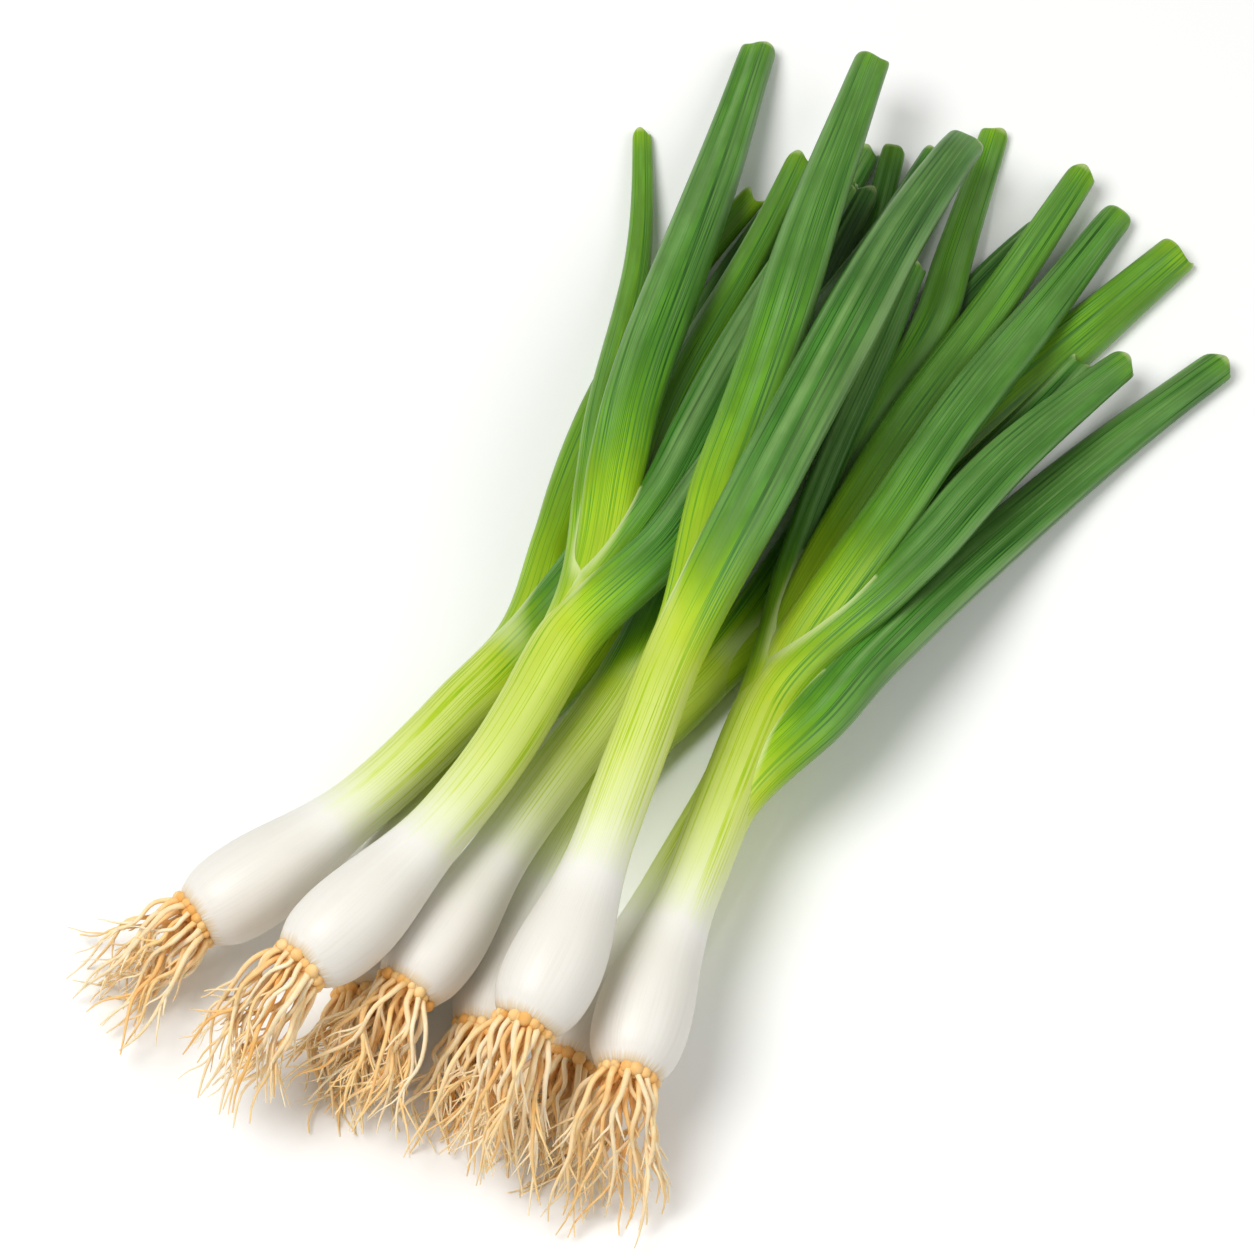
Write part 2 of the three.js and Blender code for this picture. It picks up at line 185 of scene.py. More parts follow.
# ---- Meshes -------------------------------------------------------------------------------
PAST_END = 0.5  # how far the skin map runs on from an end ring to its pole, cm
FLATTENED = 0.02 * MM  # height over the surface of what is pressed flat on it
SEED_STEP = 7.3  # from one seed's stretch of skin pattern to the next, cm


def grid_mesh(name, rows, values, material):
    """A closed surface from rows of points round a limb, with a pole at each end.

    rows is (rows, columns, 3); values are numbers for each point, kept as attributes. The skin
    map runs once round the limb in u, and along it in v in centimetres.
    """
    n_rows, n_cols, _ = rows.shape
    poles = np.stack([rows[0].mean(axis=0), rows[-1].mean(axis=0)])
    points = np.vstack([rows.reshape(-1, 3), poles])
    steps = np.linalg.norm(np.diff(rows.mean(axis=1), axis=0), axis=1)
    travel = np.concatenate([[0], np.cumsum(steps)]) / CM
    faces = []
    uv = []
    for i in range(n_rows - 1):
        for j in range(n_cols):
            k = (j + 1) % n_cols
            faces.append((i * n_cols + j, (i + 1) * n_cols + j, (i + 1) * n_cols + k, i * n_cols + k))
            u0, u1 = j / n_cols, (j + 1) / n_cols
            uv += [(u0, travel[i]), (u0, travel[i + 1]), (u1, travel[i + 1]), (u1, travel[i])]
    first, last = n_rows * n_cols, n_rows * n_cols + 1
    end = (n_rows - 1) * n_cols
    for j in range(n_cols):
        k = (j + 1) % n_cols
        u0, u1 = j / n_cols, (j + 1) / n_cols
        faces.append((first, j, k))
        uv += [((u0 + u1) / 2, travel[0] - PAST_END), (u0, travel[0]), (u1, travel[0])]
        faces.append((last, end + k, end + j))
        uv += [((u0 + u1) / 2, travel[-1] + PAST_END), (u1, travel[-1]), (u0, travel[-1])]
    mesh = bpy.data.meshes.new(name)
    mesh.from_pydata(points.tolist(), [], faces)
    layer = mesh.uv_layers.new(name="skin_map")
    layer.data.foreach_set("uv", np.array(uv, dtype=np.float32).ravel())
    for label, grid in values.items():
        by_point = grid.reshape(n_rows * n_cols, -1)
        flat = np.vstack([by_point, grid[0].mean(axis=0), grid[-1].mean(axis=0)])
        kind, key = ("FLOAT", "value") if flat.shape[1] == 1 else ("FLOAT_VECTOR", "vector")
        mesh.attributes.new(label, kind, "POINT").data.foreach_set(key, flat.astype(np.float32).ravel())
    mesh.polygons.foreach_set("use_smooth", [True] * len(mesh.polygons))
    mesh.materials.append(material)
    mesh.update()
    made = bpy.data.objects.new(name, mesh)
    bpy.context.scene.collection.objects.link(made)
    return made


def settle(points):
    """Nothing reaches through the surface: what would is pressed flat on it."""
    points[..., 2] = np.maximum(points[..., 2], SURFACE + FLATTENED)
    return points


def angles(columns):
    return np.arange(columns) * FULL_TURN / columns


def limb_rows(spine, distance, angle, grow, roll):
    """Points round a spine: distance and angle for each point, grow scales it, roll turns it."""
    centre = spine.place(distance)
    along = spine.heading(distance)
    across = unit(np.cross(along, UP))
    over = np.cross(across, along)
    wide, deep = spine.size(distance)
    x = (wide * grow * np.cos(angle))[..., None]
    y = (deep * grow * np.sin(angle))[..., None]
    c, s = np.cos(roll)[..., None], np.sin(roll)[..., None]
    return centre + across * (x * c - y * s) + over * (x * s + y * c)


def skin_values(distance, angle, seed, green, rim):
    """What the skin material reads at each point.

    skin is where on the limb it is: its angle as a point on a circle of radius 1, and its
    distance in cm. green is 0 at the crown and 1 on the darkest leaf, and rim is 1 on a pale edge.
    """
    where = np.stack([np.cos(angle), np.sin(angle), distance / CM + SEED_STEP * seed], -1)
    return {"skin": where, "green": green[..., None], "rim": rim[..., None]}


# ---- Materials ----------------------------------------------------------------------------
def add(tree, kind, inputs=(), stops=(), **settings):
    """Adds a node with its settings. A node or a socket among the inputs is linked.

    inputs are a list in order, or a dict by name or number. stops are the places and the sRGB
    hex colours of a colour ramp.
    """
    made = tree.nodes.new(kind)
    for key, value in settings.items():
        setattr(made, key, value)
    for key, value in inputs.items() if isinstance(inputs, dict) else enumerate(inputs):
        if isinstance(value, bpy.types.Node):
            value = value.outputs[0]
        if isinstance(value, bpy.types.NodeSocket):
            tree.links.new(value, made.inputs[key])
        else:
            made.inputs[key].default_value = value
    for _ in stops[2:]:
        made.color_ramp.elements.new(0.5)
    for index, (place, colour) in enumerate(stops):
        made.color_ramp.elements[index].position = place
        made.color_ramp.elements[index].color = linear(colour)
    return made


def new_material(name):
    material = bpy.data.materials.new(name)
    material.use_nodes = True
    material.node_tree.nodes.clear()
    return material, material.node_tree


def streaks(tree, where, cells, detail):
    """Noise drawn out along a limb, from a count of cells on each axis of the skin attribute."""
    drawn_out = add(tree, "ShaderNodeVectorMath", [where, cells], operation="MULTIPLY")
    inputs = {"Vector": drawn_out, "Scale": 1.0, "Detail": detail, "Roughness": 0.5}
    return add(tree, "ShaderNodeTexNoise", inputs)


# Onion skin from the crown to the darkest leaf: place on the green attribute, and colour.
SKIN_STOPS = [
    (0.0, "#DCC49A"),
    (0.05, "#E8E4DC"),
    (0.11, "#E2DED4"),
    (0.22, "#E9E7DF"),
    (0.32, "#E1E6BC"),
    (0.43, "#D0DC7C"),
    (0.54, "#B6CC34"),
    (0.66, "#90B81A"),
    (0.78, "#62981C"),
    (0.87, "#46802A"),
    (0.94, "#306419"),
    (1.0, "#1E4410"),
]
# Cells of noise over a limb's radius, which is about 8 mm, twice, and over 1 cm of its length.
VEIN_CELLS = (8.0, 8.0, 0.045)  # a vein about every mm, running nearly the whole limb
BAND_CELLS = (2.2, 2.2, 0.06)  # bands 3 to 4 mm wide
PATCH_CELLS = (1.4, 1.4, 0.5)  # patches about 6 mm wide and 20 mm long
VEIN_WIDTH = 0.06  # how far from its middle value the noise still counts as a vein
BAND_SHIFT = 0.9  # how far a band shifts the green, over how far a vein does
# Pale grey-green of the wax bloom, and how much of a leaf it covers; made pale enough to be painted sheen
# as well.
WAX_AND_SHEEN = "#8CB46A"
WAX_AND_SHEEN_COVER = 0.58
PALE_EDGE = "#DCE6A6"
VEIN_DEPTH = -0.4
BAND_HEIGHT = 0.9
SKIN_RELIEF = 0.15 * MM
SKIN_GLOW = 2.5 * MM  # how far light travels under the skin


def skin_material():
    """Onion skin, grown, living and full of water, from the white bulb to the dark leaf.

    It gives the eye a satin sheen over fine parallel veins, and a depth that light gets into.
    The green leaves carry long bands of pale grey-green wax bloom, which is also painted sheen, and the
    thin edges are pale.
    It is one material, because it is one skin. A Map Range here lists its value, the range it
    comes from and what that becomes. A colour Mix has its factor at 0 and its colours at 6 and 7.
    """
    material, tree = new_material("onion_skin")
    where = add(tree, "ShaderNodeAttribute", attribute_name="skin").outputs["Vector"]
    green = add(tree, "ShaderNodeAttribute", attribute_name="green").outputs["Fac"]
    rim = add(tree, "ShaderNodeAttribute", attribute_name="rim").outputs["Fac"]
    veins = streaks(tree, where, VEIN_CELLS, 0.6)
    bands = streaks(tree, where, BAND_CELLS, 2.0)
    patches = streaks(tree, where, PATCH_CELLS, 3.0)

    # A vein lies where the noise crosses its middle value.
    off_middle = add(tree, "ShaderNodeMath", [veins, 0.5], operation="SUBTRACT")
    away = add(tree, "ShaderNodeMath", [off_middle], operation="ABSOLUTE")
    vein = [away, 0.0, VEIN_WIDTH, 1.0, 0.0]
    line = add(tree, "ShaderNodeMapRange", vein, interpolation_type="SMOOTHSTEP")

    # Veins are faint on the bulb and clear from the stem on, and they come and go in patches.
    rise = add(tree, "ShaderNodeMapRange", [green, 0.22, 0.45, 0.03, 0.135])
    fall = add(tree, "ShaderNodeMapRange", [green, 0.62, 0.95, 1.0, 0.9])
    uneven = add(tree, "ShaderNodeMapRange", [patches, 0.35, 0.62, 0.35, 1.35])
    even = add(tree, "ShaderNodeMath", [rise, fall], operation="MULTIPLY")
    strength = add(tree, "ShaderNodeMath", [even, uneven], operation="MULTIPLY")

    # Veins are greener than the skin between them, and bands are greener or paler.
    vein_shift = add(tree, "ShaderNodeMath", [line, strength], operation="MULTIPLY")
    off_band = add(tree, "ShaderNodeMath", [bands, 0.5], operation="SUBTRACT")
    band_strength = add(tree, "ShaderNodeMath", [strength, BAND_SHIFT], operation="MULTIPLY")
    band_shift = add(tree, "ShaderNodeMath", [off_band, band_strength], operation="MULTIPLY")
    veined = add(tree, "ShaderNodeMath", [green, vein_shift], operation="ADD")
    banded = add(tree, "ShaderNodeMath", [veined, band_shift], operation="ADD")
    bare = add(tree, "ShaderNodeValToRGB", [banded], SKIN_STOPS)

    # Wax bloom lies on the green leaves in bands; its pale grey-green is also painted sheen.
    wax_and_sheen_amount = add(tree, "ShaderNodeMapRange", [green, 0.68, 0.9, 0.0, WAX_AND_SHEEN_COVER])
    wax_and_sheen_bands = add(tree, "ShaderNodeMapRange", [bands, 0.38, 0.7], interpolation_type="SMOOTHSTEP")
    wax_and_sheen_cover = add(tree, "ShaderNodeMath", [wax_and_sheen_amount, wax_and_sheen_bands], operation="MULTIPLY")
    wax_and_sheen_coloured = add(tree, "ShaderNodeMix", {0: wax_and_sheen_cover, 6: bare, 7: linear(WAX_AND_SHEEN)}, data_type="RGBA").outputs[2]

    # Leaves are darker and lighter in patches, and the bulb and stem are not.
    dark = add(tree, "ShaderNodeMapRange", [patches, 0.35, 0.65, 0.76, 1.1])
    shade = add(tree, "ShaderNodeCombineColor", [dark, dark, dark])
    both = {0: 1.0, 6: wax_and_sheen_coloured, 7: shade}
    shaded = add(tree, "ShaderNodeMix", both, data_type="RGBA", blend_type="MULTIPLY").outputs[2]
    leafy = add(tree, "ShaderNodeMapRange", [green, 0.4, 0.8])
    patchy = add(tree, "ShaderNodeMix", {0: leafy, 6: wax_and_sheen_coloured, 7: shaded}, data_type="RGBA").outputs[2]
    edged = {0: rim, 6: patchy, 7: linear(PALE_EDGE)}
    colour = add(tree, "ShaderNodeMix", edged, data_type="RGBA").outputs[2]

    # Veins are shallow grooves, and the bands between the ribs stand up a little.
    grooves = add(tree, "ShaderNodeMath", [line, VEIN_DEPTH], operation="MULTIPLY")
    ribs = add(tree, "ShaderNodeMath", [bands, BAND_HEIGHT], operation="MULTIPLY")
    height = add(tree, "ShaderNodeMath", [grooves, ribs], operation="ADD")
    relief = add(tree, "ShaderNodeBump", {"Strength": 0.3, "Distance": SKIN_RELIEF, "Height": height})
    skin = {
        "Base Color": colour,
        "Roughness": 0.36,
        "IOR": 1.4,
        "Specular IOR Level": 0.4,
        "Subsurface Weight": 0.12,
        "Subsurface Radius": (1.0, 0.8, 0.5),
        "Subsurface Scale": SKIN_GLOW,
        "Normal": relief,
    }
    add(tree, "ShaderNodeOutputMaterial", [add(tree, "ShaderNodeBsdfPrincipled", skin)])
    return material


# Roots by their tone, from the dark orange of the crown and of painted shade to a dry end.
ROOT_STOPS = [(0.0, "#CC8434"), (0.35, "#EBAF60"), (0.65, "#F8D296"), (1.0, "#FDE9C6")]
MOTTLES = 260.0  # to a metre: patches about 4 mm long
MOTTLING = 0.5
ROOT_GLOW = 1.0 * MM


def root_material():
    """Root fibre, grown and dried: no gloss, cream where it is thin, and darker at the crown and inside
    the tuft, where its tone holds painted shade.
    """
    material, tree = new_material("root_fibre")
    place = add(tree, "ShaderNodeTexCoord").outputs["Object"]
    mottle = add(tree, "ShaderNodeTexNoise", {"Vector": place, "Scale": MOTTLES, "Detail": 2.0})
    tone = add(tree, "ShaderNodeAttribute", attribute_name="tone").outputs["Fac"]
    off_middle = add(tree, "ShaderNodeMath", [mottle, 0.5], operation="SUBTRACT")
    shift = add(tree, "ShaderNodeMath", [off_middle, MOTTLING], operation="MULTIPLY")
    mottled = add(tree, "ShaderNodeMath", [tone, shift], operation="ADD")
    fibre = {
        "Base Color": add(tree, "ShaderNodeValToRGB", [mottled], ROOT_STOPS),
        "Roughness": 0.6,
        "IOR": 1.42,
        "Specular IOR Level": 0.2,
        "Subsurface Weight": 0.25,
        "Subsurface Radius": (1.0, 0.7, 0.35),
        "Subsurface Scale": ROOT_GLOW,
    }
    add(tree, "ShaderNodeOutputMaterial", [add(tree, "ShaderNodeBsdfPrincipled", fibre)])
    return material


def surface_material():
    """White card, rolled and uncoated: an even matt white with no grain to see."""
    material, tree = new_material("white_card")
    card = {"Base Color": linear("#F7F7F5"), "Roughness": 0.9}
    add(tree, "ShaderNodeOutputMaterial", [add(tree, "ShaderNodeBsdfPrincipled", card)])
    return material


onion_skin = skin_material()
root_fibre = root_material()

# ---- How each plant comes apart -----------------------------------------------------------
GREEN_AT_MM = [0, 3, 34, 48, 62, 84, 106, 140]  # distance from the crown
GREEN_OF_STEM = [0.0, 0.05, 0.12, 0.26, 0.37, 0.45, 0.5, 0.56]
SHEATH = 30 * MM  # how far below its parting a leaf's sheath is modelled
SHRINK = 0.07  # share of the stem's thickness that one sheath takes
THINS_FROM = 22 * MM  # how far below a parting the stem starts to thin
THINS_OVER = 12 * MM
NEAR_TOP = 6 * MM  # leaves that part this close to the stem's end part at its top
TOP_FIRST, TOP_SPAN = 16, 12  # how far below the end, mm, the outermost of those parts, and over what
LOW_DOWN = 0.8  # share of the stem's length below which a leaf parts low down
LOW_WRAP = 0.7  # share of the stem that the sheath of such a leaf goes round
names = sorted(frame["nodes"])
slots = {part["node"]: part["material_slot"] for part in frame["record"]["subparts"]}
plants = [n.removeprefix("stem_") for n in names if n.startswith("stem_")]
limbs = {n: rings_of(n) for n in names if not n.startswith("roots_")}
stems = {key: Spine(*limbs[f"stem_{key}"]) for key in plants}


def partings(key):
    """The plant's leaves from the outermost to the heart: node, where it parts, side, wrap."""
    stem = stems[key]
    found = []
    for node in [n for n in names if n.startswith(f"leaf_{key}")]:
        base = limbs[node][0][0]
        at = stem.at[np.argmin(np.linalg.norm(stem.line - base, axis=1))]
        heading = stem.heading(np.array(at))
        sideways = (base - stem.place(np.array(at))) @ unit(np.cross(heading, UP))
        found.append([at, -abs(sideways), -sideways, node])
    found.sort()
    low = sum(f[0] < stem.length - NEAR_TOP for f in found)
    steps = max(1, len(found) - low - 1)
    for index, leaf in enumerate(found[low:]):
        leaf[0] = stem.length - (TOP_FIRST - TOP_SPAN * index / steps) * MM
    leaves = []
    for at, _, right, node in found:
        side = 1 if right < 0 else -1
        wrap = LOW_WRAP if at < LOW_DOWN * stem.length else 1.0
        leaves.append((node, at, side, wrap))
    return leaves


def core(leaves, distance):
    """How thick the stem still is, once the sheaths of these leaves are taken off it."""
    share = np.ones_like(distance)
    for _, at, _, wrap in leaves:
        if wrap == 1.0:
            share = share * (1 - SHRINK * ease((distance - at + THINS_FROM) / THINS_OVER))
    return share


OVAL = 0.012
THREE_SIDED = 0.008
TWIST = 40 * MM


def lumps(seed, distance, angle):
    """Slight unroundness shared by a stem and the sheaths on it."""
    p = np.random.default_rng(seed).uniform(0, FULL_TURN, 3)
    return 1 + OVAL * np.sin(2 * angle + p[0]) + THREE_SIDED * np.sin(3 * angle + p[1] + distance / TWIST)


# ---- Stems --------------------------------------------------------------------------------
STEM_COLUMNS = 96
CROWN_MM, CROWN_ROWS = 20, 26  # rows are closer together near the crown
STEM_ROWS = 90
STEM_SHORT = 2 * MM  # how far below the end of the spine the rows stop
STEM_TOP = [(3.0, 0.85), (4.6, 0.6), (5.2, 0.3)]  # how far past that, mm, and size, where it closes


def build_stem(key, seed):
    """The bulb and the rolled sheaths above it; its top is hidden between the leaves."""
    node = f"stem_{key}"
    stem = stems[key]
    end = stem.length - STEM_SHORT
    crown = np.linspace(0, CROWN_MM, CROWN_ROWS)[:-1]
    above = np.linspace(CROWN_MM, end / MM, STEM_ROWS)
    body = np.concatenate([crown, above]) * MM
    top = np.array([past for past, _ in STEM_TOP])
    distance = np.tile(np.concatenate([body, end + top * MM])[:, None], (1, STEM_COLUMNS))
    grow = np.concatenate([np.ones(len(body)), [size for _, size in STEM_TOP]])[:, None]
    around = np.broadcast_to(angles(STEM_COLUMNS), distance.shape)
    grow = grow * core(partings(key), distance) * lumps(seed, distance, around)
    points = settle(limb_rows(stem, distance, around, grow, np.zeros_like(distance)))
    green = np.interp(distance / MM, GREEN_AT_MM, GREEN_OF_STEM)
    values = skin_values(distance, around, seed, green, np.zeros_like(green))
    made = grid_mesh(f"skin_{node}", points, values, onion_skin)
    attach(made, "root")
    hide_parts(node)


# ---- Leaves: the line ---------------------------------------------------------------------
KINKED = "leaf_h1"
BROAD = {"leaf_g1": 1.25, "leaf_e1": 1.18, "leaf_d1": 1.1, "leaf_d2": 1.05, "leaf_h1": 1.3}
OPENING = 38 * MM  # over how far a sheath turns into a leaf
EVEN_TIMES = 6  # how often a leaf's heights are evened out
EVEN_SIDEWAYS = 2  # and its way over the surface
FOOT = 48 * MM  # over how far the CAD leaf is slimmed to clear its stem
FROM_FOOT = 26 * MM  # where the leaf's own line is followed from
TOP_LEAF = 10 * MM  # leaves that part nearer to the stem's end follow it from further on
GUIDES = np.array([-30, -20, -10, -1]) * MM  # where the sheath follows the stem, from the parting
GUIDE_LEAN = np.array([0, 0, 0, 0.04])  # how far it leans out there, over the stem's half width
TAPER_AT = [0.2, 0.5, 0.8, 1.0]
TAPER = [1.12, 1.13, 1.02, 0.9]


def leaf_spine(node, stem, leaves, order):
    """The leaf's line and size, from its sheath on the stem to its trimmed tip."""
    _, part_at, side, wrap = leaves[order]
    centres, wide, deep = (array.copy() for array in limbs[node])
    for sizes in (wide, deep):
        sizes[-1] = sizes[-2] ** 2 / sizes[-3]
    if node != KINKED:
        for times in range(EVEN_TIMES):
            kept = centres[1:-1, :2].copy()
            centres[1:-1] = 0.25 * centres[:-2] + 0.5 * centres[1:-1] + 0.25 * centres[2:]
            if times >= EVEN_SIDEWAYS:
                centres[1:-1, :2] = kept
    run = np.linalg.norm(centres - centres[0], axis=1)
    full = int(np.argmax(run > FOOT))
    wide[:full] = wide[full]
    deep[:full] = deep[full]
    keep = run > FROM_FOOT + max(0.0, part_at - stem.length + TOP_LEAF)
    guide_at = part_at + GUIDES
    guide_wide, guide_deep = stem.size(guide_at)
    across = unit(np.cross(stem.heading(guide_at), UP))
    lean = side * ((1 - wrap) + GUIDE_LEAN)
    guides = stem.place(guide_at) + across * (lean * guide_wide)[:, None]
    share = ease(np.linalg.norm(centres[keep] - guides[-1], axis=1) / OPENING)
    whole = core(leaves[:order], np.array(part_at)) * wrap
    taper = np.interp(run / run[-1], TAPER_AT, TAPER)[keep] * BROAD.get(node, 1.0)
    wide = mix(guide_wide[-1] * whole, wide[keep] * taper, share)
    deep = mix(guide_deep[-1] * whole, deep[keep] * taper, share)
    wide = np.concatenate([guide_wide * whole, wide])
    deep = np.concatenate([guide_deep * whole, deep])
    return Spine(np.vstack([guides, centres[keep]]), wide, deep)


# ---- Leaves: the form ---------------------------------------------------------------------
LEAF_COLUMNS = 64
MOUTH_MM = 84  # rows are 1 mm apart up to here, over the sheath and the mouth
LEAF_GAP = 2  # from the last of those to the next row, mm
TIP_MM = 7
ENDS_MM = 90  # length that those rows and the tip take up together
ROW_GAP = 2.4  # between the other rows, mm
# How far a row is from the tip, mm, and its size, where the trimmed end rounds in.
TIP_ROWS = [(2.4, 1.0), (1.2, 0.985), (0.45, 0.95), (0.1, 0.9), (0.0, 0.84), (0.5, 0.74), (1.4, 0.5)]
CREASE = {"leaf_b3": 0.2, "leaf_b4": 0.16, "leaf_e1": 0.12, "leaf_d2": 0.1}
CREASE_SLIGHT = (0.03, 0.12)  # how deep the other leaves are creased
CREASE_STRAYS = 0.7  # how far from the top a crease may run, radians
CREASE_WIDTH = 0.32
CREASE_FADES = 150 * MM
LONG_WAVE, LONG_WAVE_OVER = 0.014, 28 * MM
SHORT_WAVE, SHORT_WAVE_OVER = 0.008, 12 * MM
FLAT_SIDES = 0.025
LOPSIDED = 0.015
CUT_WAVES = (0.9, 0.5)  # how far the cut runs to and fro round the leaf, mm
CUT_BACK = 0.6  # how far back the cut lies from the end of the spine, mm
EMERGE = 0.96  # size of a sheath where it comes out of the stem
EMERGE_OVER = 14 * MM
ROLLS = 16  # how far a leaf may roll, degrees
ROLLS_OVER = 90 * MM


def leaf_grid(length, phase):
    """Distance along the leaf of each point, and size of each row; the cut is a little uneven."""
    mouth = np.linspace(0, MOUTH_MM, MOUTH_MM + 1)
    rest_rows = int((length / MM - ENDS_MM) / ROW_GAP)
    rest = np.linspace(MOUTH_MM + LEAF_GAP, length / MM - TIP_MM, rest_rows)
    body = np.concatenate([mouth, rest]) * MM
    angle = angles(LEAF_COLUMNS)
    twice = CUT_WAVES[0] * np.sin(2 * angle + phase[0])
    thrice = CUT_WAVES[1] * np.sin(3 * angle + phase[1])
    ragged = (twice + thrice - CUT_BACK) * MM
    tip = [length - back * MM + ragged for back, _ in TIP_ROWS]
    distance = np.vstack([np.tile(body[:, None], (1, LEAF_COLUMNS)), *tip])
    grow = np.concatenate([np.ones(len(body)), [size for _, size in TIP_ROWS]])[:, None]
    return distance, grow


def leaf_form(rng, node, distance, angle, phase):
    """Size of a free leaf over that of a plain tube: slow waves, one crease, flatter sides."""
    crease_at = math.radians(90) + rng.uniform(-CREASE_STRAYS, CREASE_STRAYS)
    off_crease = np.angle(np.exp(1j * (angle - crease_at)))
    depth = CREASE.get(node, rng.uniform(*CREASE_SLIGHT))
    crease = depth * np.exp(-((off_crease / CREASE_WIDTH) ** 2))
    crease = crease * (1 - 0.5 * ease((distance - SHEATH) / CREASE_FADES))
    long_wave = LONG_WAVE * np.sin(distance / LONG_WAVE_OVER + phase[2])
    short_wave = SHORT_WAVE * np.sin(distance / SHORT_WAVE_OVER + phase[3])
    flats = FLAT_SIDES * np.cos(4 * angle)
    lean = LOPSIDED * np.sin(3 * angle + phase[4])
    return 1 + (long_wave + short_wave - crease - flats + lean)


# ---- Leaves: the colour -------------------------------------------------------------------
LOOK = {"leaf": 0.89, "leaf_dark": 0.93, "leaf_young": 0.77}
TONE = {"leaf_b3": 0.94, "leaf_e4": 0.91, "leaf_h1": 0.82, "leaf_g1": 0.79, "leaf_b1": 0.83}
SOON = {"a": 0.55, "b": 0.58, "c": 0.65, "d": 0.72, "e": 0.65}  # plants whose leaves turn green early
TONE_VARIES = 0.03
PACE_FIRST, PACE_SPAN = 0.7, 0.35  # outer leaves turn green over a shorter way than inner ones
TURNS_AT_MM = [-5, 12, 30, 52, 85, 140]  # distance from the parting
TURNED = [0, 0.06, 0.24, 0.48, 0.78, 1.0]
INNER_PALER = 0.025  # for each leaf outside this one
FACE_FROM = 10 * MM
FACE_OVER = 20 * MM
FACE_PALER = 0.09  # the side of a leaf that faces the heart of the plant
CUT_OVER = 12 * MM
CUT_PALER = 0.08
CUT_EDGE = 1.6 * MM  # width of the pale edge of the cut
CUT_RIM = 0.45
MOUTH_FROM, MOUTH_TO = 4 * MM, 50 * MM  # where a sheath may have a pale mouth, past the parting
MOUTH_FADES_IN = 12 * MM
MOUTH_REACH = 1.5 * MM
MOUTH_WIDTH = 1.3 * MM  # how far out from the younger leaves the mouth's edge is pale
MOUTH_RIM = 0.65
PATTERN_TURNS = 0.5  # how far the veins may turn round a leaf, radians
PATTERN_OVER = 90 * MM


def leaf_green(rng, node, key, leaves, order, distance, angle, length):
    """How green each point of a leaf is: as its stem is at first, then on to its own tone."""
    _, part_at, side, _ = leaves[order]
    since = distance - SHEATH
    free = ease(since / OPENING)
    tone = TONE.get(node, LOOK[slots[node]]) + rng.uniform(-TONE_VARIES, TONE_VARIES)
    start = np.interp((part_at - SHEATH + distance) / MM, GREEN_AT_MM, GREEN_OF_STEM)
    pace = SOON.get(key, 1.0) * (PACE_FIRST + PACE_SPAN * order / max(1, len(leaves) - 1))
    turned = np.interp(since / MM / pace, TURNS_AT_MM, TURNED)
    facing = -side * np.cos(angle) * ease((since + FACE_FROM) / FACE_OVER) * (1 - free)
    green = start - INNER_PALER * order * free + (tone - start) * turned
    return green - FACE_PALER * facing - CUT_PALER * ease((distance - length + CUT_OVER) / CUT_OVER)


def leaf_rim(points, distance, length, inner):
    """How pale each point's edge is: at the cut, and where a sheath opens round younger leaves."""
    rim = ease((distance - length + CUT_EDGE) / CUT_EDGE) * CUT_RIM
    since = distance - SHEATH
    for row, column in np.argwhere((since > MOUTH_FROM) & (since < MOUTH_TO)):
        spot = Vector(points[row, column])
        gaps = []
        for younger in inner:
            hit, normal, _, gap = younger.find_nearest(spot, MOUTH_REACH)
            if hit is not None:
                gaps.append(gap if (spot - hit).dot(normal) > 0 else -gap)
        if gaps:
            opened = ease((since[row, column] - MOUTH_FROM) / MOUTH_FADES_IN)
            rim[row, column] = MOUTH_RIM * float(opened * (1 - ease(min(gaps) / MOUTH_WIDTH)))
    return rim


def build_leaf(key, seed, plant_seed, leaves, order, inner):
    """A sheath wrapped round the stem that turns into a hollow leaf with a trimmed tip."""
    rng = np.random.default_rng(seed)
    node, part_at, _, _ = leaves[order]
    spine = leaf_spine(node, stems[key], leaves, order)
    phase = rng.uniform(0, FULL_TURN, 8)
    distance, grow = leaf_grid(spine.length, phase)
    around = np.broadcast_to(angles(LEAF_COLUMNS), distance.shape)
    on_stem = part_at - SHEATH + distance
    since = distance - SHEATH
    form = leaf_form(rng, node, distance, around, phase)
    emerge = mix(EMERGE, 1.0, ease(distance / EMERGE_OVER))
    grow = grow * emerge * mix(lumps(plant_seed, on_stem, around), form, ease(since / OPENING))
    roll = math.radians(rng.uniform(-ROLLS, ROLLS)) * ease(since / ROLLS_OVER)
    points = settle(limb_rows(spine, distance, around, grow, roll))
    green = leaf_green(rng, node, key, leaves, order, distance, around, spine.length)
    rim = leaf_rim(points, distance, spine.length, inner)
    turned = around + (phase[5] / np.pi - 1) * PATTERN_TURNS * ease(since / PATTERN_OVER)
    values = skin_values(on_stem, turned, plant_seed, green, rim)
    made = grid_mesh(f"skin_{node}", points, values, onion_skin)
    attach(made, "root")
    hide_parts(node)
    mesh = made.data
    return BVHTree.FromPolygons([v.co for v in mesh.vertices], [f.vertices[:] for f in mesh.polygons])


